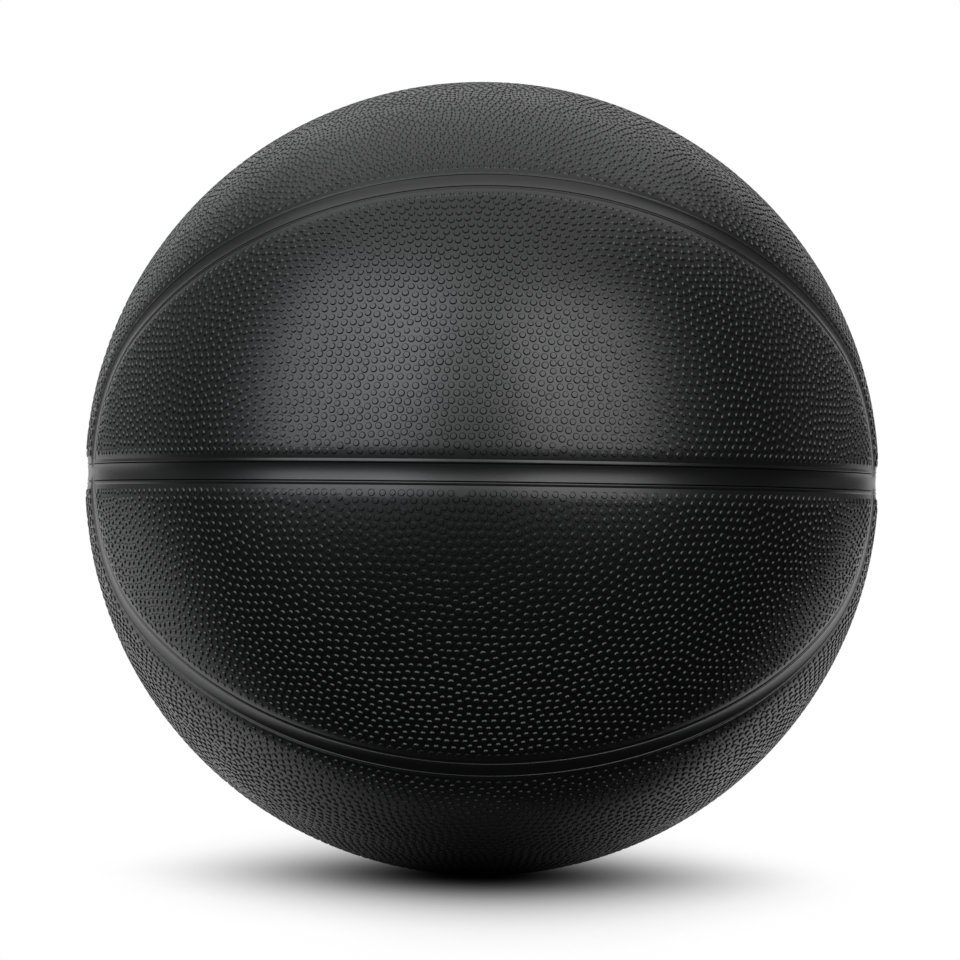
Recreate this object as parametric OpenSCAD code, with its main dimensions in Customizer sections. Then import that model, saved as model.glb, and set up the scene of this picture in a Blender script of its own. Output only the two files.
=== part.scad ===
// An eight-panel basketball, laid up in layers from an air bladder outwards.
// The origin is the ball's centre and +Z is up. One channel runs round the
// equator, one over the poles in the plane y = 0, and an oval channel goes
// round each of the +Y and -Y sides. The inflation valve is on the +Y side.

/* [Ball] */
// Diameter over the cover
ball_d = 242; // [226:1:250]
// Thickness of the cover
cover_t = 1.6; // [1.5:0.1:3]
// Thickness of the rubber carcass under the cover
carcass_t = 0.5; // [0.3:0.1:1.5]
// Thickness of the wound thread layer
winding_t = 0.3; // [0.2:0.1:1.2]
// Thickness of the air bladder's wall
bladder_t = 0.7; // [0.5:0.1:1.5]

/* [Channels] */
// Width of a channel's floor, from crease to crease
floor_w = 5.2; // [4:0.1:8]
// Depth at the middle of a channel, below the cover's surface
channel_depth = 1.0; // [0.5:0.05:1.2]
// How far the floor dips between its two creases
floor_dip = 0.25; // [0.05:0.05:0.4]
// Width of the rounded lip on each side of a channel
lip_w = 1.1; // [0.6:0.1:1.6]
// How far the lips lie below the cover's surface
lip_drop = 0.45; // [0:0.05:0.6]
// Gap between a channel strip and the panel beside it
crease_gap = 0.1; // [0.05:0.05:0.3]

/* [Layout of the channels] */
// Angle between the equator and an oval's long sides
side_tilt = 45; // [38:0.5:50]
// Longitude of the centre of an oval's round tip, from the oval's middle
tip_lon = 50.5; // [44:0.5:56]

/* [Valve] */
// Angle of the valve above the equator
valve_lat = 10; // [8:0.5:16]
// Radius of the hole in the cover
valve_hole_r = 4.6; // [4:0.1:6]
// Gap between the hole and the valve housing's neck
neck_gap = 0.1; // [0.05:0.05:0.3]
// How far the neck's rim lies below the cover's surface
rim_drop = 0.35; // [0.2:0.05:0.8]
// Length of the housing from its rim to its closed end
housing_l = 24; // [20:1:30]
// Radius of the housing's barrel inside the ball
barrel_r = 5.6; // [5:0.1:7]
// Radius of the housing's bore for the core
core_bore_r = 3.0; // [2.5:0.1:3.4]
// Gap between the core and its bore
core_gap = 0.05; // [0.02:0.01:0.1]
// How far the core's head lies below the housing's rim
core_drop = 0.3; // [0.2:0.05:0.6]
// Length of the core
core_l = 18; // [14:1:18]
// Radius of the hole for the inflating needle
needle_r = 1.0; // [0.8:0.05:1.2]
// Depth of the hole for the inflating needle
needle_l = 8; // [5:0.5:11]
// Radius at the mouth of the needle hole's funnel
funnel_r = 1.8; // [1.5:0.1:2.2]
// Depth of the funnel
funnel_l = 0.8; // [0.5:0.1:1.5]
// Radius of the housing's flange inside the bladder
flange_r = 14; // [11:0.5:18]
// Thickness of the flange
flange_t = 1.0; // [0.8:0.1:1.6]
// Radius of the reinforcing patch over the flange
patch_r = 20; // [19:0.5:26]
// Thickness of the reinforcing patch
patch_t = 0.8; // [0.5:0.1:1.2]
// Gap between the bladder's inside and the flange and patch that lie on it
seat_gap = 0.05; // [0.02:0.01:0.1]

/* [Hidden] */
$fn = 144;

// Radii of the layers, from the outside in
ball_r = ball_d / 2;
carcass_r = ball_r - cover_t;
winding_r = carcass_r - carcass_t;
bladder_r = winding_r - winding_t;
air_r = bladder_r - bladder_t;

// Half widths of a channel's floor, of its strip and of the slot between panels
floor_half = floor_w / 2;
strip_half = floor_half + lip_w;
slot_half = strip_half + crease_gap;
// Depth of the two creases, and radius of the dished floor between them
crease_depth = channel_depth - floor_dip;
floor_r = (floor_half * floor_half + floor_dip * floor_dip) / (2 * floor_dip);

// Depth of the notches at the crossings, half way down the dish
notch_depth = (channel_depth + crease_depth) / 2;

// An oval's long sides lie on great circles through the points +X and -X.
// Each round tip is a small circle that touches both long sides.
// Angular radius of that small circle
tip_rho = asin(cos(tip_lon) * sin(side_tilt));
// Angle of the tip's arc from the equator to where it meets the long side
tip_turn = acos(tan(tip_rho) * tan(tip_lon));

// How far the cut round a tip runs outside the straight sides where they join
joint_ease = 0.02;

// Radius of the valve housing's neck
neck_r = valve_hole_r - neck_gap;
// Distances from the ball's centre to the housing's rim and to the core's head
rim_at = ball_r - rim_drop;
head_at = rim_at - core_drop;
// Outer radius of the flange and patch, where they lie on the bladder's inside
seat_r = air_r - seat_gap;
// Length of the wide barrel, from the housing's closed end up into its flange
barrel_l = seat_r - flange_t - (rim_at - housing_l);
// One overrun serves all cuts
over = 1;

// Colours of the rubbers and of the thread
panel_colour = "#242528";
strip_colour = "#1a1b1d";
carcass_colour = "#2e2c2a";
thread_colour = "#d8d2c0";
bladder_colour = "#3a3a3c";
valve_colour = "#121213";

// Cross-section of a channel strip, drawn outwards along +x at the surface
module strip_section() {
    difference() {
        translate([carcass_r, -floor_half])
            square([cover_t - crease_depth, floor_w]);
        translate([ball_r - channel_depth + floor_r, 0])
            circle(r = floor_r);
    }
    for (side = [-1, 1]) {
        translate([carcass_r, side * (floor_half + lip_w / 2) - lip_w / 2])
            square([cover_t - lip_drop - lip_w / 2, lip_w]);
        translate([ball_r - lip_drop - lip_w / 2, side * (floor_half + lip_w / 2)])
            circle(r = lip_w / 2, $fn = 24);
    }
}

// Cross-section of the notch that a crossing channel cuts through a strip's lips
module notch_section() {
    translate([ball_r - notch_depth, -floor_half])
        square([notch_depth + over, floor_w]);
}

// Turns a section through an angle about the z axis, at the angle rho from that axis
module sweep(rho, turn) {
    rotate_extrude(angle = turn)
        rotate(90 - rho)
            children();
}

// Places a child, drawn about the z axis, round the right tip of the front oval:
// its x axis points along the equator to the tip, and its y axis points up
module at_tip() {
    rotate([90, 0, tip_lon])
        children();
}

// The same, turned until its plane y = 0 holds the joint of the tip and the upper side
module at_joint() {
    at_tip()
        rotate([0, 0, tip_turn])
            children();
}

// From the joint on, the oval's upper side is an arc about the z axis of this frame
module at_side() {
    at_joint()
        rotate([0, tip_rho - 90, 0])
            children();
}

// Repeats a child on the left of the plane x = 0
module both_sides() {
    children();
    mirror([1, 0, 0])
        children();
}

// Everything above a level, as a block far larger than the ball
module above(level) {
    translate([-ball_d, -ball_d, level])
        cube(2 * ball_d);
}

// Everything to the right of the ball's middle
module right_half() {
    rotate([0, 90, 0])
        above(0);
}

// Everything under the front oval's upper side, at a distance inside it
module inside_side(distance) {
    rotate([-side_tilt, 0, 0])
        mirror([0, 0, 1])
            above(distance);
}

// A spherical layer between two radii
module layer(outer_r, inner_r) {
    difference() {
        sphere(r = outer_r);
        sphere(r = inner_r);
    }
}

// Cone round the tip's axis whose wall runs beside the tip's arc, at a distance
// outside it. At the joints it stands out past the straight sides by joint_ease.
module tip_cone(distance) {
    rotate_extrude()
        intersection() {
            square(2 * ball_d);
            rotate(90 - tip_rho)
                translate([-ball_d, -distance - joint_ease])
                    square(3 * ball_d);
        }
}

// The sector between the two joints of the front oval's upper side and its tips
module between_joints() {
    intersection_for (side = [0, 1])
        mirror([side, 0, 0])
            at_joint()
                rotate([-90, 0, 0])
                    above(0);
}

// Panel between the equator and the upper side of the front oval
module oval_panel() {
    difference() {
        intersection() {
            layer(ball_r, carcass_r);
            above(slot_half);
            inside_side(slot_half);
        }
        both_sides()
            difference() {
                at_joint()
                    rotate([90, 0, 0])
                        above(0);
                at_tip()
                    tip_cone(-slot_half);
            }
    }
}

// Panel between the upper side of the front oval and the channel over the poles
module band_panel() {
    difference() {
        intersection() {
            layer(ball_r, carcass_r);
            above(slot_half);
            rotate([90, 0, 0])
                above(slot_half);
        }
        intersection() {
            inside_side(-slot_half);
            between_joints();
        }
        both_sides()
            at_tip()
                tip_cone(slot_half);
    }
}

// Channel along the upper half of the front oval
module oval_channel() {
    both_sides() {
        intersection() {
            at_joint()
                sweep(tip_rho, -tip_turn)
                    strip_section();
            above(slot_half);
        }
        intersection() {
            at_side()
                sweep(90, 90)
                    strip_section();
            right_half();
        }
    }
}

// Half of the channel over the poles, above the equator
module pole_channel() {
    intersection() {
        rotate([90, 0, 0])
            sweep(90, 360)
                strip_section();
        above(slot_half);
    }
}

// Notches where both tips of the front oval cross the equator
module tip_notches() {
    both_sides()
        at_tip()
            rotate([0, 0, -tip_turn])
                sweep(tip_rho, 2 * tip_turn)
                    notch_section();
}

// Places a child, drawn about the z axis, along the valve's axis
module at_valve() {
    rotate([valve_lat - 90, 0, 0])
        children();
}

// Round hole through every layer for the valve's neck
module valve_hole(r) {
    at_valve()
        cylinder(r = r, h = ball_r + over);
}

// Half section of a disc that follows the ball's curve, for turning about the valve
module disc_section(outer_r, inner_r, rim_r) {
    intersection() {
        difference() {
            circle(r = outer_r);
            circle(r = inner_r);
        }
        square([rim_r, ball_r]);
    }
}

module bladder() {
    color(bladder_colour)
        difference() {
            layer(bladder_r, air_r);
            valve_hole(neck_r);
        }
}

module winding() {
    color(thread_colour)
        difference() {
            layer(winding_r, bladder_r);
            valve_hole(neck_r);
        }
}

module carcass() {
    color(carcass_colour)
        difference() {
            layer(carcass_r, winding_r);
            valve_hole(neck_r);
        }
}

module panel_front_upper() {
    color(panel_colour)
        oval_panel();
}

module panel_front_lower() {
    color(panel_colour)
        mirror([0, 0, 1])
            oval_panel();
}

module panel_rear_upper() {
    color(panel_colour)
        difference() {
            mirror([0, 1, 0])
                oval_panel();
            valve_hole(valve_hole_r);
        }
}

module panel_rear_lower() {
    color(panel_colour)
        mirror([0, 1, 0])
            mirror([0, 0, 1])
                oval_panel();
}

module panel_top_front() {
    color(panel_colour)
        band_panel();
}

module panel_top_rear() {
    color(panel_colour)
        mirror([0, 1, 0])
            band_panel();
}

module panel_bottom_front() {
    color(panel_colour)
        mirror([0, 0, 1])
            band_panel();
}

module panel_bottom_rear() {
    color(panel_colour)
        mirror([0, 1, 0])
            mirror([0, 0, 1])
                band_panel();
}

module channel_equator() {
    color(strip_colour)
        difference() {
            sweep(90, 360)
                strip_section();
            rotate([90, 0, 0])
                sweep(90, 360)
                    notch_section();
            tip_notches();
            mirror([0, 1, 0])
                tip_notches();
        }
}

module channel_top() {
    color(strip_colour)
        pole_channel();
}

module channel_bottom() {
    color(strip_colour)
        mirror([0, 0, 1])
            pole_channel();
}

module channel_front_upper() {
    color(strip_colour)
        oval_channel();
}

module channel_front_lower() {
    color(strip_colour)
        mirror([0, 0, 1])
            oval_channel();
}

module channel_rear_upper() {
    color(strip_colour)
        mirror([0, 1, 0])
            oval_channel();
}

module channel_rear_lower() {
    color(strip_colour)
        mirror([0, 1, 0])
            mirror([0, 0, 1])
                oval_channel();
}

module valve_housing() {
    color(valve_colour)
        at_valve()
            difference() {
                rotate_extrude() {
                    translate([0, rim_at - housing_l])
                        square([neck_r, housing_l]);
                    translate([0, rim_at - housing_l])
                        square([barrel_r, barrel_l]);
                    disc_section(seat_r, seat_r - flange_t, flange_r);
                }
                translate([0, 0, head_at - core_l])
                    cylinder(r = core_bore_r, h = core_l + core_drop + over);
            }
}

module valve_core() {
    color(valve_colour)
        at_valve()
            difference() {
                translate([0, 0, head_at - core_l])
                    cylinder(r = core_bore_r - core_gap, h = core_l);
                translate([0, 0, head_at - needle_l])
                    cylinder(r = needle_r, h = needle_l + over);
                translate([0, 0, head_at - funnel_l])
                    cylinder(r1 = needle_r, r2 = funnel_r, h = funnel_l);
            }
}

module valve_patch() {
    color(carcass_colour)
        at_valve()
            difference() {
                rotate_extrude()
                    difference() {
                        disc_section(seat_r, seat_r - flange_t - patch_t, patch_r);
                        disc_section(seat_r + over, seat_r - flange_t, flange_r);
                    }
                cylinder(r = barrel_r, h = ball_r);
            }
}

bladder();
winding();
carcass();
panel_front_upper();
panel_front_lower();
panel_rear_upper();
panel_rear_lower();
panel_top_front();
panel_top_rear();
panel_bottom_front();
panel_bottom_rear();
channel_equator();
channel_top();
channel_bottom();
channel_front_upper();
channel_front_lower();
channel_rear_upper();
channel_rear_lower();
valve_housing();
valve_core();
valve_patch();
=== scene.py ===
import math

import bpy
import numpy as np
from mathutils import Matrix, Vector
from mathutils.geometry import delaunay_2d_cdt


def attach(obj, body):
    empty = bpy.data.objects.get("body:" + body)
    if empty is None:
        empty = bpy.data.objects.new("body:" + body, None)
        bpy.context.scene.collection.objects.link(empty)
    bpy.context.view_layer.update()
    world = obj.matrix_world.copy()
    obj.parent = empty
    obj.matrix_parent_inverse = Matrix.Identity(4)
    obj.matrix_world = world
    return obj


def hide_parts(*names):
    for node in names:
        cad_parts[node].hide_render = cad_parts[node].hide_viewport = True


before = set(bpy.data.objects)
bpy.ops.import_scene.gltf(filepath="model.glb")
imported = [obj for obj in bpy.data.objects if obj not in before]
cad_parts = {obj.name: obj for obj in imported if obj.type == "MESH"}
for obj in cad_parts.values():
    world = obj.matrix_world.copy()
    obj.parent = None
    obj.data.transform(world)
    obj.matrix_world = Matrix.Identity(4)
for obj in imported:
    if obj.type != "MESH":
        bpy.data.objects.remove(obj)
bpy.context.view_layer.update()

# Lengths are in millimetres, as in the part's source, unless a comment says metres
MM = 0.001
BALL_R = 121.0
CARCASS_R = 119.4
# Distances of the panels' and strips' edges from a channel's middle
PANEL_EDGE = 3.76
STRIP_EDGE = 3.74
# Layout of the channels: the ovals' tilt and the longitude of their tips, and what follows from them
TILT = math.radians(45)
TIP_LON = math.radians(50.5)
TIP_RHO = math.asin(math.cos(TIP_LON) * math.sin(TILT))
TIP_TURN = math.acos(math.tan(TIP_RHO) * math.tan(TIP_LON))
JOINT_AZ = math.atan(math.cos(TILT) / math.tan(TIP_LON))
# The valve's angle above the equator, and the radius of its hole
VALVE_LAT = math.radians(10)
VALVE_HOLE_R = 4.6

# Pebbles: pitch, base radius, height, and the distance of the first row from a channel's middle
PITCH = 2.7
PEBBLE_R = 1.04
PEBBLE_H = 0.36
FIRST_ROW = 5.9
# A pebble's rings of corners, as shares of its base radius and height, and the corners of a ring
PEBBLE_SHAPE = ((1.0, 0.0), (0.75, 0.94))
SIDES = 11
# Nearest that two centres may lie in base radii, before one is dropped
CLOSEST = 1.75
# Random spread of a pebble's radius and height, as shares of them, and its least gap to a neighbour
RADIUS_SPREAD = 0.05
HEIGHT_SPREAD = 0.03
LEAST_GAP = 0.08
# Height of the pebbles near a seam: a share that rises from 0 at LOW_AT to 1 over LOW_W, and isn't
# let under LOW_SHARE
LOW_SHARE = 0.75
LOW_AT = 4.3
LOW_W = 3.0

# How the pebbles settle: their random shift at the start, and how far from the first row they may start
SHIFT = 0.75
START_SLACK = 0.6
# Rounds of pushing, rounds after which pairs are looked for again, and how near those are in pitches
ROUNDS = 40
PAIR_ROUNDS = 5
PAIR_REACH = 1.7
# Reach of a push in pitches, its random spread as a share, and its strength
REACH = 1.22
REACH_SPREAD = 0.1
PUSH = 0.15
# Step in mm over which a distance's slope is taken
SLOPE_STEP = 0.05

# Level of the ground between the pebbles, and the width, drop and power of its fall towards a seam
GROUND = -0.36
SHOULDER_W = 4.0
SHOULDER_DROP = 0.45
SHOULDER_POWER = 1.7
# Step between the points of a panel's edge, and rows of points beside it: distance from it and step
EDGE_STEP = 0.9
SHOULDER_ROWS = ((0.45, 0.9), (0.95, 0.95))
# Rings round the valve's hole: distance outside it and level of the ground, and points on a ring
HOLE_RIM = ((0, -0.62), (0.12, -0.5), (0.45, -0.42), (1.1, GROUND), (1.9, GROUND), (2.5, GROUND))
RING_N = 48
# How far pebbles and other points stay outside that hole
PEBBLES_OFF_HOLE = 3.6
POINTS_OFF_HOLE = 3
# Gap between the points of a panel's inner shell, and their distance from its edge
INNER_GAP = 7.0
INNER_OFF_EDGE = 2.5
# Margin in the unit square of a panel's map places
MAP_MARGIN = 0.01
# Edges between faces that meet at a larger angle in degrees stay sharp
PANEL_SHARP = 31
STRIP_SHARP = 50

# Frame of the front oval's right tip, and of the oval's upper side
TIP_AXIS = np.array([math.sin(TIP_LON), -math.cos(TIP_LON), 0.0])
TIP_OUT = np.array([math.cos(TIP_LON), math.sin(TIP_LON), 0.0])
SIDE_IN = np.array([0.0, -math.sin(TILT), -math.cos(TILT)])
SIDE_MID = np.array([0.0, -math.cos(TILT), math.sin(TILT)])
X, Y, Z = np.eye(3)


def unit(v):
    return v / np.linalg.norm(v, axis=-1, keepdims=True)


def distance_to(p, place):
    """Distance in mm over the surface from each of p to a place."""
    return BALL_R * np.arccos(np.clip(p @ place, -1, 1))


def oval_distance(p):
    """Distance in mm inside the front oval's centre line, over the surface, where z >= 0."""
    q = p.copy()
    q[:, 0] = np.abs(q[:, 0])
    turn = np.arctan2(q[:, 2], q @ TIP_OUT)
    tip = TIP_RHO - np.arccos(np.clip(q @ TIP_AXIS, -1, 1))
    side = np.arcsin(np.clip(q @ SIDE_IN, -1, 1))
    return BALL_R * np.where(turn > TIP_TURN, side, tip)


def level_of(p, k):
    """Distance in mm of each of p from the great circle square to axis k."""
    return BALL_R * np.arcsin(np.clip(p[:, k], -1, 1))


def oval_panel_distance(p):
    """Distance in mm from the nearest channel's middle, inside a panel of the oval."""
    return np.minimum(level_of(p, 2), oval_distance(p))


def band_panel_distance(p):
    """The same, inside a panel between the oval and the channel over the poles."""
    return np.minimum(np.minimum(level_of(p, 2), -level_of(p, 1)), -oval_distance(p))


def oval_curve(inside, level, step):
    """Points at a distance inside the oval's centre line, from right to left, above a level."""
    w = inside / BALL_R
    r = TIP_RHO - w
    start = math.asin(math.sin(level / BALL_R) / math.sin(r))
    n = max(2, round(BALL_R * math.sin(r) * (TIP_TURN - start) / step))
    a = np.linspace(start, TIP_TURN, n, endpoint=False)[:, None]
    tip = math.cos(r) * TIP_AXIS + math.sin(r) * (np.cos(a) * TIP_OUT + np.sin(a) * Z)
    n = max(2, round(BALL_R * (math.pi - 2 * JOINT_AZ) / step))
    a = np.linspace(JOINT_AZ, math.pi - JOINT_AZ, n, endpoint=False)[:, None]
    side = math.cos(w) * (np.cos(a) * X + np.sin(a) * SIDE_MID) + math.sin(w) * SIDE_IN
    joint = math.cos(w) * (math.cos(JOINT_AZ) * X + math.sin(JOINT_AZ) * SIDE_MID) + math.sin(w) * SIDE_IN
    left = np.vstack([joint[None], tip[::-1]]) * [-1, 1, 1]
    return np.vstack([tip, side, left])


def level_line(a, b, level, step):
    """Points at a height above the equator, between the longitudes of two points, which are left out."""
    w = level / BALL_R
    la, lb = math.atan2(a[1], a[0]), math.atan2(b[1], b[0])
    n = max(2, round(BALL_R * abs(lb - la) / step))
    t = np.linspace(la, lb, n + 1)[1:-1, None]
    return math.cos(w) * (np.cos(t) * X + np.sin(t) * Y) + math.sin(w) * Z


def polar_curve(aside, level, step):
    """Points in front of the channel over the poles, from left to right, above a level."""
    w = aside / BALL_R
    start = math.asin(math.sin(level / BALL_R) / math.cos(w))
    n = max(2, round(BALL_R * (math.pi - 2 * start) / step))
    t = np.linspace(math.pi - start, start, n + 1)[:, None]
    return math.cos(w) * (np.cos(t) * X + np.sin(t) * Z) - math.sin(w) * Y


def oval_panel_loop(distance, step):
    """A closed line inside a panel of the oval, at a distance from the channels' middles."""
    top = oval_curve(distance, distance, step)
    return np.vstack([top, level_line(top[-1], top[0], distance, step)])


def band_panel_loop(distance, step):
    """The same, inside a panel between the oval and the channel over the poles."""
    low = oval_curve(-distance, distance, step)
    high = polar_curve(distance, distance, step)
    left = level_line(low[-1], high[0], distance, step)
    right = level_line(high[-1], low[0], distance, step)
    return np.vstack([low, left, high, right])


def tangents(p):
    """Two unit vectors square to each of p and to each other."""
    side = np.where(np.abs(p[:, 2:3]) < 0.9, Z, X)
    u = unit(np.cross(side, p))
    return u, np.cross(p, u)


def push_inside(p, distance_of, least):
    """Moves points whose distance from a channel's middle is under least up the distance's slope."""
    d = distance_of(p)
    near = d < least
    if not near.any():
        return p
    q = p[near]
    u, v = tangents(q)
    e = SLOPE_STEP / BALL_R
    gu = distance_of(unit(q + e * u)) - d[near]
    gv = distance_of(unit(q + e * v)) - d[near]
    g = gu[:, None] * u + gv[:, None] * v
    g /= np.maximum(np.linalg.norm(g, axis=1, keepdims=True), 1e-9)
    p = p.copy()
    p[near] = unit(q + g * ((least - d[near]) / BALL_R)[:, None])
    return p


def start_rows(axis, across, distance_of, rng):
    """Loose rows of pebble centres along circles about an axis, kept where they lie inside the panel."""
    found = []
    third = np.cross(axis, across)
    row_gap = PITCH * math.sqrt(3) / 2
    for k in range(int(BALL_R * math.pi / 2 / row_gap)):
        lat = (FIRST_ROW + k * row_gap) / BALL_R
        if lat > math.pi / 2 - 0.01:
            break
        n = max(6, int(2 * math.pi * BALL_R * math.cos(lat) / PITCH))
        a = (np.arange(n) + 0.5 * (k % 2))[:, None] * (2 * math.pi / n)
        found.append(math.cos(lat) * (np.cos(a) * across + np.sin(a) * third) + math.sin(lat) * axis)
    p = np.vstack(found)
    p = unit(p + rng.normal(0, SHIFT / BALL_R, p.shape))
    return p[distance_of(p) > FIRST_ROW - START_SLACK]


def close_pairs(p, reach):
    """Pairs of centres nearer to each other than a reach in mm."""
    q = p.astype(np.float32)
    a, b = np.nonzero(np.triu(q @ q.T > math.cos(reach / BALL_R), 1))
    return a, b


def settle(p, distance_of, rng):
    """Lets the centres push each other apart, so that rows line up along the seams."""
    share = rng.uniform(1 - REACH_SPREAD, 1 + REACH_SPREAD, len(p))
    for i in range(ROUNDS):
        if i % PAIR_ROUNDS == 0:
            a, b = close_pairs(p, PAIR_REACH * PITCH)
        gap = p[a] - p[b]
        r = np.linalg.norm(gap, axis=1)
        reach = REACH * PITCH / BALL_R * (share[a] + share[b]) / 2
        f = np.clip(reach - r, 0, None) * PUSH
        push = gap / np.maximum(r, 1e-9)[:, None] * f[:, None]
        move = np.zeros_like(p)
        for k in range(3):
            move[:, k] = np.bincount(a, push[:, k], len(p)) - np.bincount(b, push[:, k], len(p))
        p = push_inside(unit(p + move), distance_of, FIRST_ROW)
    return p


def nearest(p):
    """Distance in mm from each centre to its nearest neighbour."""
    a, b = close_pairs(p, 2 * PITCH)
    r = BALL_R * np.linalg.norm(p[a] - p[b], axis=1)
    least = np.full(len(p), 2 * PITCH)
    np.minimum.at(least, a, r)
    np.minimum.at(least, b, r)
    return least


def thin_out(p, least):
    """Drops one of each pair of centres that lie nearer to each other than least."""
    gone = set()
    for i, j in zip(*close_pairs(p, least)):
        if i not in gone and j not in gone:
            gone.add(int(j))
    return p[[i for i in range(len(p)) if i not in gone]]


def ground_level(d):
    """Level of the ground at a distance from a channel's middle, which falls towards the seam."""
    s = np.clip((PANEL_EDGE + SHOULDER_W - d) / SHOULDER_W, 0, 1)
    return GROUND - SHOULDER_DROP * s ** SHOULDER_POWER


def flat_map(p, centre):
    """Stereographic map of unit vectors about a centre, which keeps circles round."""
    u, v = tangents(centre[None])
    u, v = u[0], v[0]
    k = 2 / (1 + p @ centre)
    return np.stack([k * (p @ u), k * (p @ v)], axis=1) * BALL_R


def inside_loop(points, loop):
    """Which points of the plane lie inside a closed line."""
    inside = np.zeros(len(points), bool)
    x, y = points[:, 0], points[:, 1]
    for (ax, ay), (bx, by) in zip(loop, np.roll(loop, -1, axis=0)):
        if ay == by:
            continue
        crosses = (ay > y) != (by > y)
        at = ax + (y - ay) * (bx - ax) / (by - ay)
        inside ^= crosses & (x < at)
    return inside


def triangles_of(points, edges):
    """Delaunay triangles of points in the plane, with some edges kept."""
    verts = [Vector((float(x), float(y))) for x, y in points]
    out = delaunay_2d_cdt(verts, edges, [], 0, 1e-7, True)
    tris = np.array([f for f in out[2] if len(f) == 3])
    origin = np.array([o[0] if len(o) else -1 for o in out[3]])
    return origin[tris]


def pebbles(distance_of, axis, across, seed, hole):
    """A panel's pebbles: their centres, their tops in mm, and rings of corners with their levels."""
    rng = np.random.default_rng(seed)
    centres = start_rows(axis, across, distance_of, rng)
    centres = settle(centres, distance_of, rng)
    centres = thin_out(centres, CLOSEST * PEBBLE_R)
    if hole is not None:
        centres = centres[distance_to(centres, hole) > VALVE_HOLE_R + PEBBLES_OFF_HOLE]
    count = len(centres)
    d = distance_of(centres)
    ground = ground_level(d)
    radius = PEBBLE_R * (1 + rng.normal(0, RADIUS_SPREAD, count))
    radius = np.minimum(radius, nearest(centres) / 2 - LEAST_GAP / 2)
    height = PEBBLE_H * (1 + rng.normal(0, HEIGHT_SPREAD, count))
    height *= np.clip((d - LOW_AT) / LOW_W, LOW_SHARE, 1)
    height = np.minimum(height, -ground)
    turn = rng.uniform(0, 2 * math.pi, count)
    u, v = tangents(centres)
    a = turn[:, None] + np.arange(SIDES) * (2 * math.pi / SIDES)
    outwards = np.cos(a)[..., None] * u[:, None] + np.sin(a)[..., None] * v[:, None]
    rings = []
    for share, rise in PEBBLE_SHAPE:
        at = unit(centres[:, None] + outwards * (share * radius / BALL_R)[:, None, None]).reshape(-1, 3)
        level = ground_level(distance_of(at)).reshape(count, SIDES) + (rise * height)[:, None]
        rings.append((at, level.ravel()))
    return centres, centres * (BALL_R + ground + height)[:, None], rings


def ring_round(place, radius):
    """A ring of points on the surface, at a radius in mm round a place."""
    u, v = tangents(place[None])
    w = radius / BALL_R
    a = np.arange(RING_N)[:, None] * (2 * math.pi / RING_N)
    return unit(math.cos(w) * place + math.sin(w) * (np.cos(a) * u[0] + np.sin(a) * v[0]))


def closed_line(first, count):
    """Index pairs round a closed line of points, from its first index."""
    return [(first + i, first + (i + 1) % count) for i in range(count)]


def fill_panel(plane, n_edge, first_hole):
    """Triangles between the points of a flat map, inside the panel's edge and outside the valve's hole.

    The edge's points come first. The hole's ring starts at first_hole, which is None without a hole."""
    lines = closed_line(0, n_edge)
    if first_hole is not None:
        lines += closed_line(first_hole, RING_N)
    tris = triangles_of(plane, lines)
    on_edge = (tris < n_edge).all(axis=1)
    middle = plane[tris].mean(axis=1)
    drop = np.zeros(len(tris), bool)
    drop[on_edge] = ~inside_loop(middle[on_edge], plane[:n_edge])
    if first_hole is not None:
        drop |= ((tris >= first_hole) & (tris < first_hole + RING_N)).all(axis=1)
    return tris[~drop]


def wall(high, high_next, low, low_next):
    """Triangles of a wall between two lines of points."""
    return [np.stack([high, low, low_next], axis=-1), np.stack([high, low_next, high_next], axis=-1)]


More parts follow.
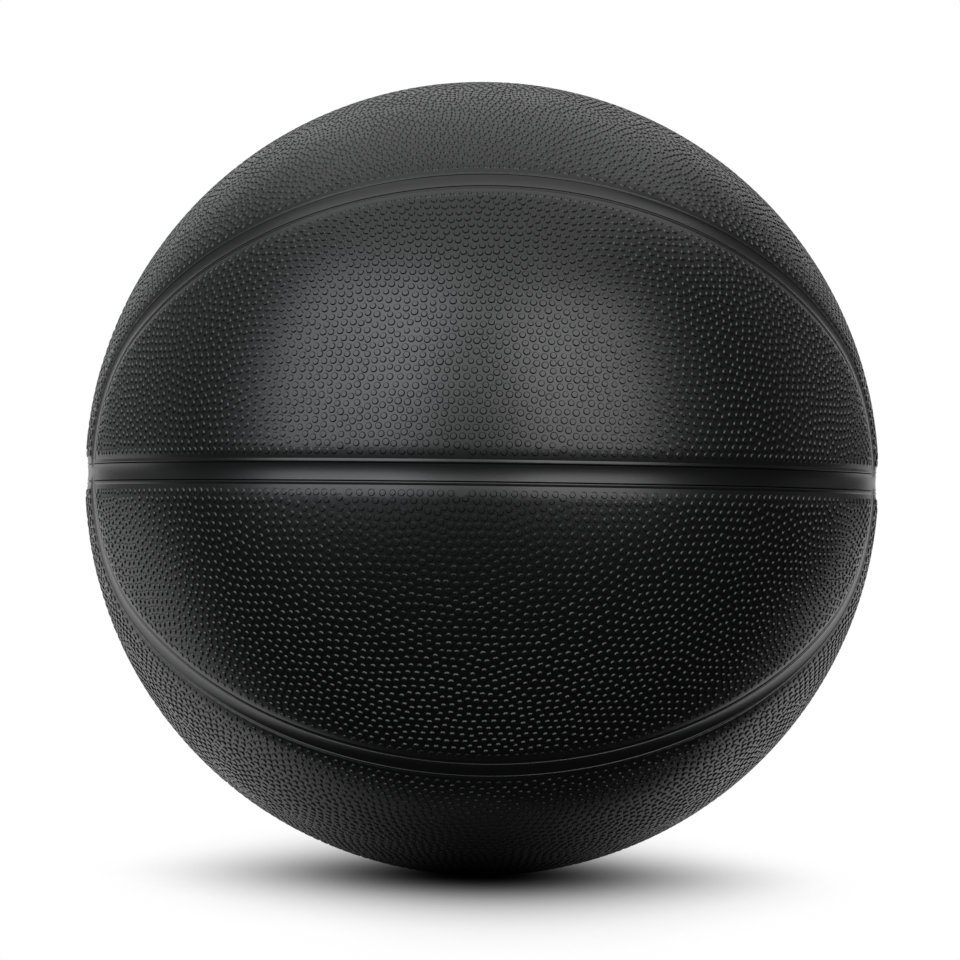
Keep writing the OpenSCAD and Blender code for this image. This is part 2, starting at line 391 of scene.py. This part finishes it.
def panel_template(distance_of, loop_of, axis, across, centre, seed, hole=None):
    """One panel's mesh on the front: vertices in mm, triangles, and the vertices' places in the flat map,
    with how many triangles are the outside's and the inner shell's.

    The outside has a ground with pebbles standing on it, and rounded shoulders along its seams.
    The inside is a smooth shell at the carcass, and walls along the seams close the solid."""
    centres, tops, rings = pebbles(distance_of, axis, across, seed, hole)

    # Points of the ground: the edge and the rows beside it, the valve's rings, and the pebbles' feet
    edge = loop_of(PANEL_EDGE, EDGE_STEP)
    n_edge = len(edge)
    sides = np.vstack([edge] + [loop_of(PANEL_EDGE + aside, step) for aside, step in SHOULDER_ROWS])
    sides_level = ground_level(distance_of(sides))
    rim = np.zeros((0, 3))
    rim_level = np.zeros(0)
    if hole is not None:
        away = distance_to(sides, hole) > VALVE_HOLE_R + POINTS_OFF_HOLE
        away[:n_edge] = True
        sides, sides_level = sides[away], sides_level[away]
        rim = np.vstack([ring_round(hole, VALVE_HOLE_R + outside) for outside, _ in HOLE_RIM])
        rim_level = np.repeat([level for _, level in HOLE_RIM], RING_N)
    feet, feet_level = rings[0]
    first_hole = len(sides)
    first_foot = first_hole + len(rim)
    ground = np.vstack([sides, rim, feet])
    ground_lv = np.concatenate([sides_level, rim_level, feet_level])
    plane = flat_map(ground, centre)
    tris = fill_panel(plane, n_edge, None if hole is None else first_hole)
    owner = (tris - first_foot) // SIDES
    under = (tris >= first_foot).all(axis=1) & (owner == owner[:, :1]).all(axis=1)

    # Pebbles on the ground, from ring to ring and up to their tops
    pts = [ground * (BALL_R + ground_lv)[:, None]]
    flat = [plane]
    faces = [tris[~under]]
    k = np.arange(len(centres))[:, None]
    i = np.arange(SIDES)[None]
    j = (i + 1) % SIDES
    low, high = first_foot, len(ground)
    for at, level in rings[1:]:
        pts.append(at * (BALL_R + level)[:, None])
        flat.append(flat_map(at, centre))
        a, b = low + k * SIDES + i, low + k * SIDES + j
        c, e = high + k * SIDES + j, high + k * SIDES + i
        faces.append(np.stack([a, b, c], axis=-1).reshape(-1, 3))
        faces.append(np.stack([a, c, e], axis=-1).reshape(-1, 3))
        low, high = high, high + len(at)
    pts.append(tops)
    flat.append(flat_map(centres, centre))
    a, b = low + k * SIDES + i, low + k * SIDES + j
    faces.append(np.stack([a, b, np.broadcast_to(high + k, a.shape)], axis=-1).reshape(-1, 3))
    n_outer = sum(len(f) for f in faces)

    # Inner shell, with the same points along its edges
    borders = [edge] if hole is None else [edge, rim[:RING_N]]
    inner = np.vstack(borders + [inner_points(distance_of, hole)])
    inner_plane = flat_map(inner, centre)
    inner_tris = fill_panel(inner_plane, n_edge, None if hole is None else n_edge)
    first_inner = high + len(centres)
    pts.append(inner * CARCASS_R)
    flat.append(inner_plane)
    faces.append(first_inner + inner_tris[:, ::-1])

    # Walls from the outside's edges down to the shell's
    at, after = np.arange(n_edge), np.roll(np.arange(n_edge), -1)
    faces += wall(at, after, first_inner + at, first_inner + after)
    if hole is not None:
        at, after = np.roll(np.arange(RING_N), -1), np.arange(RING_N)
        first_ring = first_inner + n_edge
        faces += wall(first_hole + at, first_hole + after, first_ring + at, first_ring + after)
    return {
        "pts": np.vstack(pts), "faces": np.vstack(faces), "flat": np.vstack(flat),
        "outer": n_outer, "inner": len(inner_tris),
    }


def inner_points(distance_of, hole):
    """A coarse, even spread of points inside the panel, which keeps the inner shell round."""
    found = []
    rows = int(math.pi * BALL_R / INNER_GAP)
    for k in range(1, rows):
        lat = math.pi * k / rows
        n = max(4, int(2 * math.pi * BALL_R * math.sin(lat) / INNER_GAP))
        a = (np.arange(n) + 0.5 * (k % 2))[:, None] * (2 * math.pi / n)
        found.append(math.sin(lat) * (np.cos(a) * X + np.sin(a) * Z) + math.cos(lat) * Y)
    p = np.vstack(found)
    p = p[p[:, 2] > 0]
    keep = distance_of(p) > PANEL_EDGE + INNER_OFF_EDGE
    if hole is not None:
        keep &= distance_to(p, hole) > VALVE_HOLE_R + POINTS_OFF_HOLE
    return p[keep]


def mesh_from(name, pts, faces, uv=None):
    """A mesh object from numbers: points in mm, triangles or quads, and map places for each face corner."""
    mesh = bpy.data.meshes.new(name)
    n, k = faces.shape
    mesh.vertices.add(len(pts))
    mesh.vertices.foreach_set("co", (pts * MM).astype(np.float32).ravel())
    mesh.loops.add(n * k)
    mesh.loops.foreach_set("vertex_index", faces.astype(np.int32).ravel())
    mesh.polygons.add(n)
    mesh.polygons.foreach_set("loop_start", np.arange(0, n * k, k, dtype=np.int32))
    mesh.update(calc_edges=True)
    if uv is not None:
        layer = mesh.uv_layers.new(name="OFBake")
        layer.uv.foreach_set("vector", uv.astype(np.float32).ravel())
    obj = bpy.data.objects.new(name, mesh)
    bpy.context.scene.collection.objects.link(obj)
    return obj


def panel_map(template):
    """Places in the unit square for each corner: the outside, and the shell and walls smaller above it."""
    flat = template["flat"]
    low, high = flat.min(0), flat.max(0)
    wide = (high - low).max()
    inner_wide = 1 - 2 * MAP_MARGIN
    uv = (flat - low) / wide * inner_wide + MAP_MARGIN
    corner = uv[template["faces"].ravel()].reshape(-1, 3, 2)
    tall = (high[1] - low[1]) / wide
    shrink = min(0.45, (inner_wide - tall) * 0.9 / max(tall, 0.1))
    above = tall * inner_wide + 1.5 * MAP_MARGIN
    first, last = template["outer"], template["outer"] + template["inner"]
    corner[first:last] = corner[first:last] * shrink + [MAP_MARGIN, above]
    corner[last:] = corner[last:] * shrink + [2 * MAP_MARGIN + shrink, above]
    return corner


def make_panel(node, template, mirror, material):
    """A panel of the ball, mirrored from a template on the front's upper half."""
    faces = template["faces"]
    corner = panel_map(template)
    if np.prod(mirror) < 0:
        faces = faces[:, ::-1]
        corner = corner[:, ::-1]
    obj = mesh_from("shell_" + node, template["pts"] * mirror, faces, corner.reshape(-1, 2))
    smooth(obj, PANEL_SHARP)
    finish_piece(obj, node, material)


def smooth(obj, angle):
    """Smooth shading, with edges sharper than an angle kept sharp."""
    mesh = obj.data
    mesh.polygons.foreach_set("use_smooth", np.ones(len(mesh.polygons), bool))
    mesh.set_sharp_from_angle(angle=math.radians(angle))


def finish_piece(obj, node, material):
    """Gives a piece its material, hangs it on the root body, and hides the CAD node that it stands for."""
    obj.data.materials.append(material)
    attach(obj, "root")
    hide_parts(node)


# Cross-section of a channel strip: distance from its middle, and height over the ball's surface
STRIP_PROFILE = (
    # Dished floor
    (0.0, -1.0), (0.6, -0.985), (1.2, -0.94), (1.7, -0.88), (2.05, -0.82), (2.2, -0.79), (2.36, -0.765),
    # Crease
    (2.4, -0.83), (2.48, -0.99), (2.58, -1.16), (2.68, -0.98), (2.76, -0.82), (2.83, -0.745),
    # Lip
    (2.93, -0.72), (3.1, -0.72), (3.35, -0.74), (3.55, -0.77), (STRIP_EDGE, -0.81),
)
PROFILE_X, PROFILE_H = np.array(STRIP_PROFILE).T
# Places across a whole strip, from edge to edge
OFFSETS = np.concatenate([-PROFILE_X[:0:-1], PROFILE_X])
# Height beyond a strip's edge, so high that the lowest of several strips is another one there
BEYOND = 9.0
# Steps along the equator's strip: short within CROSSING_W of a crossing, then growing to a long step
CROSSING_W = 5.2
SHORT_STEP = 0.28
LONG_STEP = 1.3
STEP_GROWTH = 0.25
# Points along an oval strip's tip and long side, and along the polar strip
TIP_N = 46
SIDE_N = 220
POLAR_N = 330


def profile_height(d):
    """Height of a strip's outside over the ball's surface, at a distance from the strip's middle."""
    d = np.abs(d)
    return np.where(d > PROFILE_X[-1], BEYOND, np.interp(d, PROFILE_X, PROFILE_H))


def strip_mesh(grid, height, closed):
    """A strip from a grid of unit vectors, rows along it and columns across it, with a flat underside."""
    rows, cols = grid.shape[:2]
    top = grid * (BALL_R + height)[..., None]
    low = grid[:, [0, -1]] * CARCASS_R
    ring = np.concatenate([top, low[:, 1:2], low[:, 0:1]], axis=1)
    c = cols + 2
    pts = ring.reshape(-1, 3)
    last = rows if closed else rows - 1
    i = np.arange(last)[:, None]
    j = np.arange(c)[None]
    a = i * c + j
    b = i * c + (j + 1) % c
    d = ((i + 1) % rows) * c + (j + 1) % c
    e = ((i + 1) % rows) * c + j
    quads = np.stack([a, b, d, e], axis=-1).reshape(-1, 4)
    first = quads.reshape(last, c, 4)[:, cols // 2]
    out = np.cross(pts[first[:, 1]] - pts[first[:, 0]], pts[first[:, 3]] - pts[first[:, 0]])
    if (out * pts[first[:, 0]]).sum() < 0:
        quads = quads[:, ::-1]
    tris = np.vstack([quads[:, [0, 1, 2]], quads[:, [0, 2, 3]]])
    if not closed:
        caps = []
        for row, turned in ((0, False), (rows - 1, True)):
            ids = row * c + np.arange(c)
            for k in range(cols - 1):
                # Each top edge falls to the underside's nearer corner
                under = ids[c - 1] if k < cols // 2 else ids[c - 2]
                caps.append((ids[k], ids[k + 1], under, turned))
            caps.append((ids[cols // 2], ids[c - 2], ids[c - 1], turned))
        cap = np.array([(x, y, z) if not t else (x, z, y) for x, y, z, t in caps])
        cap_normal = np.cross(pts[cap[0, 1]] - pts[cap[0, 0]], pts[cap[0, 2]] - pts[cap[0, 0]])
        away = grid[0, 0] - grid[1, 0]
        if cap_normal @ away < 0:
            cap = cap[:, ::-1]
        tris = np.vstack([tris, cap])
    return pts, tris


def equator_strip():
    """The ring round the equator, with the floors of the crossing channels cut through its lips."""
    w = (OFFSETS / BALL_R)[None, :, None]
    lon_tip = TIP_LON + TIP_RHO - math.pi / 2
    crossings = (0.0, math.pi, lon_tip, math.pi - lon_tip, -lon_tip, math.pi + lon_tip)
    lons = [0.0]
    while lons[-1] < math.tau:
        ways = [abs(lons[-1] - c % math.tau) for c in crossings]
        gap = min(min(way, math.tau - way) for way in ways) * BALL_R
        longer = SHORT_STEP + (gap - CROSSING_W) * STEP_GROWTH
        step = SHORT_STEP if gap < CROSSING_W else min(LONG_STEP, longer)
        lons.append(lons[-1] + step / BALL_R)
    lons = np.array(lons[:-1])[:, None, None]
    grid = np.cos(w) * (np.cos(lons) * X + np.sin(lons) * Y) + np.sin(w) * Z
    p = grid.reshape(-1, 3)
    own = profile_height(level_of(p, 2))
    folded = np.abs(p) * [1, -1, 1]
    oval = profile_height(oval_distance(folded))
    polar = profile_height(level_of(p, 1))
    height = np.minimum(np.minimum(own, oval), polar).reshape(grid.shape[:2])
    return strip_mesh(grid, height, True)


def oval_line(inside):
    """As oval_curve, with the same number of points whatever the distance."""
    w = inside / BALL_R
    r = TIP_RHO - w
    start = math.asin(math.sin(STRIP_EDGE / BALL_R) / math.sin(r))
    a = np.linspace(start, TIP_TURN, TIP_N, endpoint=False)[:, None]
    tip = math.cos(r) * TIP_AXIS + math.sin(r) * (np.cos(a) * TIP_OUT + np.sin(a) * Z)
    a = np.linspace(JOINT_AZ, math.pi - JOINT_AZ, SIDE_N)[:, None]
    side = math.cos(w) * (np.cos(a) * X + np.sin(a) * SIDE_MID) + math.sin(w) * SIDE_IN
    return np.vstack([tip, side, tip[::-1] * [-1, 1, 1]])


def polar_line(aside):
    """As polar_curve from right to left, with the same number of points whatever the distance."""
    w = aside / BALL_R
    start = math.asin(math.sin(STRIP_EDGE / BALL_R) / math.cos(w))
    t = np.linspace(start, math.pi - start, POLAR_N)[:, None]
    return math.cos(w) * (np.cos(t) * X + np.sin(t) * Z) - math.sin(w) * Y


def open_strip(line_of):
    """A strip above the equator's strip, from lines along it at a distance from its middle."""
    grid = np.stack([line_of(x) for x in OFFSETS], axis=1)
    height = np.tile(profile_height(OFFSETS), (grid.shape[0], 1))
    return strip_mesh(grid, height, False)


def make_strip(node, made, mirror, material):
    """A channel strip of the ball, mirrored from one that was made on the front's upper half."""
    pts, faces = made
    if np.prod(mirror) < 0:
        faces = faces[:, ::-1]
    obj = mesh_from("strip_" + node, pts * mirror, faces)
    smooth(obj, STRIP_SHARP)
    finish_piece(obj, node, material)


def new_material(name):
    material = bpy.data.materials.new(name)
    material.use_nodes = True
    tree = material.node_tree
    return material, tree, tree.nodes["Principled BSDF"]


# Grain of all the rubbers: noise scale, spread of roughness, and strength and depth of bump in metres
GRAIN_SCALE = 2600
GRAIN_ROUGH = 0.05
GRAIN_BUMP = 0.3
GRAIN_DEPTH = 0.00004


def rubber(name, dark, light, roughness, tint, scale):
    """Moulded rubber: a cloudy change of tone, and a fine grain in roughness and bump.

    The tint is the strength of its gloss, and the scale is that of the cloudy noise."""
    material, tree, shader = new_material(name)
    nodes, links = tree.nodes, tree.links
    where = nodes.new("ShaderNodeTexCoord")
    cloud = nodes.new("ShaderNodeTexNoise")
    cloud.inputs["Scale"].default_value = scale
    cloud.inputs["Detail"].default_value = 3
    links.new(where.outputs["Object"], cloud.inputs["Vector"])
    tone = nodes.new("ShaderNodeMix")
    tone.data_type = "RGBA"
    tone.inputs[6].default_value = (*dark, 1)
    tone.inputs[7].default_value = (*light, 1)
    links.new(cloud.outputs["Fac"], tone.inputs[0])
    links.new(tone.outputs[2], shader.inputs["Base Color"])
    grain = nodes.new("ShaderNodeTexNoise")
    grain.inputs["Scale"].default_value = GRAIN_SCALE
    grain.inputs["Detail"].default_value = 2
    links.new(where.outputs["Object"], grain.inputs["Vector"])
    rough = nodes.new("ShaderNodeMapRange")
    rough.inputs["To Min"].default_value = roughness - GRAIN_ROUGH
    rough.inputs["To Max"].default_value = roughness + GRAIN_ROUGH
    links.new(grain.outputs["Fac"], rough.inputs["Value"])
    links.new(rough.outputs["Result"], shader.inputs["Roughness"])
    bump = nodes.new("ShaderNodeBump")
    bump.inputs["Strength"].default_value = GRAIN_BUMP
    bump.inputs["Distance"].default_value = GRAIN_DEPTH
    links.new(grain.outputs["Fac"], bump.inputs["Height"])
    links.new(bump.outputs["Normal"], shader.inputs["Normal"])
    shader.inputs["Specular Tint"].default_value = (tint, tint, tint, 1)
    return material


def seen_rays(nodes, links):
    """One for rays that see the background: camera, glossy and transmission rays."""
    path = nodes.new("ShaderNodeLightPath")
    either = nodes.new("ShaderNodeMath")
    either.operation = "MAXIMUM"
    links.new(path.outputs["Is Camera Ray"], either.inputs[0])
    links.new(path.outputs["Is Glossy Ray"], either.inputs[1])
    third = nodes.new("ShaderNodeMath")
    third.operation = "MAXIMUM"
    links.new(either.outputs["Value"], third.inputs[0])
    links.new(path.outputs["Is Transmission Ray"], third.inputs[1])
    return third.outputs["Value"]


def chain(nodes, links, kind, value, steps):
    """A row of nodes of one kind after a value, each with an operation and a second input."""
    for operation, amount in steps:
        step = nodes.new(kind)
        step.operation = operation
        links.new(value, step.inputs[0])
        if amount is not None:
            step.inputs[1].default_value = amount
        value = step.outputs[0]
    return value


def glow_node(nodes, material):
    """An emission that is seen, but isn't sampled as a lamp."""
    material.cycles.emission_sampling = "NONE"
    return nodes.new("ShaderNodeEmission")


# Materials. Each colour is a dark and a light tone, between which the cloudy noise wanders.
BLACK = ((0.0018, 0.002, 0.0022), (0.003, 0.003, 0.003))
BROWN = ((0.024, 0.022, 0.02), (0.032, 0.03, 0.028))
GREY = ((0.038, 0.038, 0.042), (0.046, 0.046, 0.05))
DARK = ((0.006, 0.006, 0.006), (0.012, 0.012, 0.012))
THREAD = ((0.6, 0.55, 0.45), (0.72, 0.67, 0.56))
panel_rubber = rubber("panel_rubber", *BLACK, roughness=0.34, tint=1.0, scale=14)
strip_rubber = rubber("strip_rubber", *BLACK, roughness=0.32, tint=1.0, scale=20)
carcass_rubber = rubber("carcass_rubber", *BROWN, roughness=0.8, tint=0.5, scale=60)
bladder_rubber = rubber("bladder_rubber", *GREY, roughness=0.7, tint=0.6, scale=40)
valve_rubber = rubber("valve_rubber", *DARK, roughness=0.45, tint=0.4, scale=120)
thread = rubber("winding_thread", *THREAD, roughness=0.85, tint=0.4, scale=300)

# Where the pieces made on the front's upper half go, as mirrorings of x, y and z
QUARTERS = {
    "front_upper": (1, 1, 1), "front_lower": (1, 1, -1),
    "rear_upper": (1, -1, 1), "rear_lower": (1, -1, -1),
}
BANDS = {
    "top_front": (1, 1, 1), "top_rear": (1, -1, 1),
    "bottom_front": (1, 1, -1), "bottom_rear": (1, -1, -1),
}
HALVES = {"top": (1, 1, 1), "bottom": (1, 1, -1)}

# Panels. The flat map's centres lie near their middles, and the valve's panel is made on the front too.
OVAL_CENTRE = unit(np.array([0.0, -math.cos(math.radians(20)), math.sin(math.radians(20))]))
BAND_CENTRE = unit(np.array([0.0, -math.sin(math.radians(24)), math.cos(math.radians(24))]))
VALVE_DIR = np.array([0.0, -math.cos(VALVE_LAT), math.sin(VALVE_LAT)])
OVAL_SEED = 11
BAND_SEED = 12
oval_layout = (oval_panel_distance, oval_panel_loop, Z, X, OVAL_CENTRE, OVAL_SEED)
oval_template = panel_template(*oval_layout)
valve_template = panel_template(*oval_layout, VALVE_DIR)
band_template = panel_template(band_panel_distance, band_panel_loop, -Y, X, BAND_CENTRE, BAND_SEED)
for part, mirror in QUARTERS.items():
    template = valve_template if part == "rear_upper" else oval_template
    make_panel("panel_" + part, template, np.array(mirror), panel_rubber)
for part, mirror in BANDS.items():
    make_panel("panel_" + part, band_template, np.array(mirror), panel_rubber)

# Channel strips
oval = open_strip(oval_line)
for part, mirror in QUARTERS.items():
    make_strip("channel_" + part, oval, np.array(mirror), strip_rubber)
polar = open_strip(polar_line)
for part, mirror in HALVES.items():
    make_strip("channel_" + part, polar, np.array(mirror), strip_rubber)
make_strip("channel_equator", equator_strip(), np.array((1, 1, 1)), strip_rubber)

# CAD nodes that stay
for node, material in (
    ("bladder", bladder_rubber), ("winding", thread), ("carcass", carcass_rubber),
    ("valve_housing", valve_rubber), ("valve_core", valve_rubber), ("valve_patch", carcass_rubber),
):
    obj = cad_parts[node]
    obj.data.materials.clear()
    obj.data.materials.append(material)


# Floor: white to the camera and in reflections, with a painted shadow where the ball hides the room from
# it: occlusion, not a lamp, darkens the white glow.
# Matt surfaces get little light back from it. Its size and the painted shadow's reach are in metres.
FLOOR_SIZE = 60
FLOOR_COLOUR = (0.12, 0.12, 0.12, 1)
# The painted shadow's occlusion normal leans outwards with x and a little to the front, so the painted
# shadow is narrow at the sides
PAINTED_SHADOW_LEAN = (
    ("MULTIPLY", (2.0 / (BALL_R * MM), 0.0, 0.0)), ("ADD", (0.0, -0.1, 1.0)), ("NORMALIZE", None),
)
# Painted shadow: power, scale and cap of the occlusion that darkens the floor's glow, then its reach and
# samples
PAINTED_SHADOW_TONE = (("POWER", 2.4), ("MULTIPLY", 1.15), ("MINIMUM", 1.0))
PAINTED_SHADOW_REACH = 1.0
PAINTED_SHADOW_SAMPLES = 32
# World: a white backdrop, and a dim room for what it adds to matt surfaces
BACKDROP = 1.0
ROOM_LIGHT = 0.15


def make_floor():
    bpy.ops.mesh.primitive_plane_add(size=FLOOR_SIZE, location=(0, 0, -BALL_R * MM))
    floor = bpy.context.object
    floor.name = "floor"
    material, tree, shader = new_material("floor")
    nodes, links = tree.nodes, tree.links
    shader.inputs["Base Color"].default_value = FLOOR_COLOUR
    shader.inputs["Roughness"].default_value = 1.0
    shader.inputs["Specular IOR Level"].default_value = 0.0
    where = nodes.new("ShaderNodeTexCoord")
    occlusion = nodes.new("ShaderNodeAmbientOcclusion")
    occlusion.samples = PAINTED_SHADOW_SAMPLES
    occlusion.inputs["Distance"].default_value = PAINTED_SHADOW_REACH
    normal = chain(nodes, links, "ShaderNodeVectorMath", where.outputs["Object"], PAINTED_SHADOW_LEAN)
    links.new(normal, occlusion.inputs["Normal"])
    painted_glow = glow_node(nodes, material)
    # Painted shadow: the occlusion darkens the white glow that the camera and reflections see
    painted_shadow = chain(nodes, links, "ShaderNodeMath", occlusion.outputs["AO"], PAINTED_SHADOW_TONE)
    links.new(painted_shadow, painted_glow.inputs["Color"])
    mix = nodes.new("ShaderNodeMixShader")
    links.new(seen_rays(nodes, links), mix.inputs[0])
    links.new(shader.outputs["BSDF"], mix.inputs[1])
    links.new(painted_glow.outputs["Emission"], mix.inputs[2])
    links.new(mix.outputs["Shader"], nodes["Material Output"].inputs["Surface"])
    floor.data.materials.append(material)


def make_world():
    world = bpy.data.worlds.new("studio")
    bpy.context.scene.world = world
    world.use_nodes = True
    nodes, links = world.node_tree.nodes, world.node_tree.links
    level = nodes.new("ShaderNodeMapRange")
    level.inputs["To Min"].default_value = ROOM_LIGHT
    level.inputs["To Max"].default_value = BACKDROP
    links.new(seen_rays(nodes, links), level.inputs["Value"])
    nodes["Background"].inputs["Color"].default_value = (1, 1, 1, 1)
    links.new(level.outputs["Result"], nodes["Background"].inputs["Strength"])


def direction(az, el):
    """The unit vector from the ball to an azimuth and elevation in degrees, where azimuth 0 is -Y."""
    a, e = math.radians(az), math.radians(el)
    return Vector((math.sin(a) * math.cos(e), -math.cos(a) * math.cos(e), math.sin(e)))


def softbox(name, az, el, wide, tall, radiance, colour=(1.0, 1.0, 1.0), distance=1.3):
    """An area lamp in a direction, at a distance in metres.

    It is as wide and tall as two angles in degrees that are seen from the ball."""
    data = bpy.data.lights.new(name, "AREA")
    data.shape = "RECTANGLE"
    data.size = 2 * distance * math.tan(math.radians(wide / 2))
    data.size_y = 2 * distance * math.tan(math.radians(tall / 2))
    data.energy = radiance * math.pi * data.size * data.size_y
    data.color = colour
    obj = bpy.data.objects.new(name, data)
    bpy.context.scene.collection.objects.link(obj)
    obj.location = direction(az, el) * distance
    obj.rotation_euler = direction(az, el).to_track_quat("Z", "Y").to_euler()
    obj.visible_camera = False


# Painted reflections of a dim room, from sheets that glow and that only reflections show: their radius, the
# elevation of the curtains' feet in degrees, their points across and up, and the lowest sheet's height over
# the floor
REFLECTION_ROOM_R = 2400
CURTAIN_FOOT = -8
CURTAIN_N = (31, 21)
MAT_RISE = 0.2


def reflection_sheet(name, pts, quads, level):
    """A sheet in mm that glows and that only reflections show: a painted dim reflection, which no lamp
    lights.
    """
    material, tree, _ = new_material(name)
    painted_glow = glow_node(tree.nodes, material)
    painted_glow.inputs["Color"].default_value = (level, level, level, 1)
    tree.links.new(painted_glow.outputs["Emission"], tree.nodes["Material Output"].inputs["Surface"])
    obj = mesh_from(name, pts, quads)
    obj.data.materials.append(material)
    obj.visible_camera = obj.visible_diffuse = obj.visible_shadow = False


def curtain_in_reflections(name, first, last, top, level):
    """A glowing sheet round the ball, between two azimuths and up to an elevation in degrees, that paints
    dim curtains into reflections.
    """
    across, up = CURTAIN_N
    lon = np.radians(np.linspace(first, last, across))
    lat = np.radians(np.linspace(CURTAIN_FOOT, top, up))
    lon, lat = np.meshgrid(lon, lat)
    way = np.stack([np.sin(lon) * np.cos(lat), -np.cos(lon) * np.cos(lat), np.sin(lat)], axis=-1)
    i = (np.arange(up - 1)[:, None] * across + np.arange(across - 1)).ravel()
    quads = np.stack([i, i + 1, i + across + 1, i + across], axis=-1)
    reflection_sheet(name, way.reshape(-1, 3) * REFLECTION_ROOM_R, quads, level)


def mat_in_reflections(name, line, level):
    """A glowing sheet just above the floor, from the front of the room back to a line of points, that
    paints a dark floor into reflections.
    """
    low = -BALL_R + MAT_RISE
    pts = np.array([(x, -REFLECTION_ROOM_R, low) for x, _ in line] + [(x, y, low) for x, y in line])
    n = len(line)
    reflection_sheet(name, pts, np.array([(i, i + 1, n + i + 1, n + i) for i in range(n - 1)]), level)


make_floor()
make_world()

# Painted reflections of a dim room round the ball, as in a studio: glowing sheets in front and at the
# sides, and one just above the floor in front
curtain_in_reflections("front_painted_reflection", -95, 95, 58, 0.04)
curtain_in_reflections("left_painted_reflection", -146, -95, 48, 0.28)
curtain_in_reflections("right_painted_reflection", 95, 147, 46, 0.17)
mat_in_reflections("floor_painted_reflection", [(-REFLECTION_ROOM_R, 1100), (-450, 30), (0, -70), (300, 60), (REFLECTION_ROOM_R, 2200)], 0.03)

# Lamps
softbox("left_box", -41, 28, 46, 54, 3.4, (0.94, 0.98, 1.0))
softbox("right_box", 28, 25, 36, 48, 3.3)
softbox("front_box", -5, 34, 50, 54, 1.1, distance=1.5)

# Camera at the photograph's angle: azimuth, elevation and roll in degrees, distance in ball radii, and
# nearest visible distance in metres
CAMERA_AZ = -1.35
CAMERA_EL = -0.8
CAMERA_ROLL = 0.74
CAMERA_AWAY = 12
CAMERA_CLIP = 0.05
SENSOR = 36
LENS = 178
# The photograph's size and where the ball's centre lies in it, in pixels
PHOTO_SIZE = 960
BALL_AT = (481.85, 478.66)


def make_camera():
    data = bpy.data.cameras.new("camera")
    data.sensor_width = SENSOR
    data.lens = LENS
    data.clip_start = CAMERA_CLIP
    camera = bpy.data.objects.new("camera", data)
    bpy.context.scene.collection.objects.link(camera)
    away = direction(CAMERA_AZ, CAMERA_EL)
    camera.location = away * (CAMERA_AWAY * BALL_R * MM)
    turn = (-away).to_track_quat("-Z", "Y").to_matrix().to_4x4()
    focal = LENS / SENSOR * PHOTO_SIZE
    pan = Matrix.Rotation(math.atan((BALL_AT[0] - PHOTO_SIZE / 2) / focal), 4, "Y")
    tip_up = Matrix.Rotation(math.atan((BALL_AT[1] - PHOTO_SIZE / 2) / focal), 4, "X")
    roll = Matrix.Rotation(math.radians(CAMERA_ROLL), 4, "Z")
    camera.rotation_euler = (turn @ pan @ tip_up @ roll).to_euler()
    bpy.context.scene.camera = camera


make_camera()
bpy.context.scene.view_settings.view_transform = "Standard"
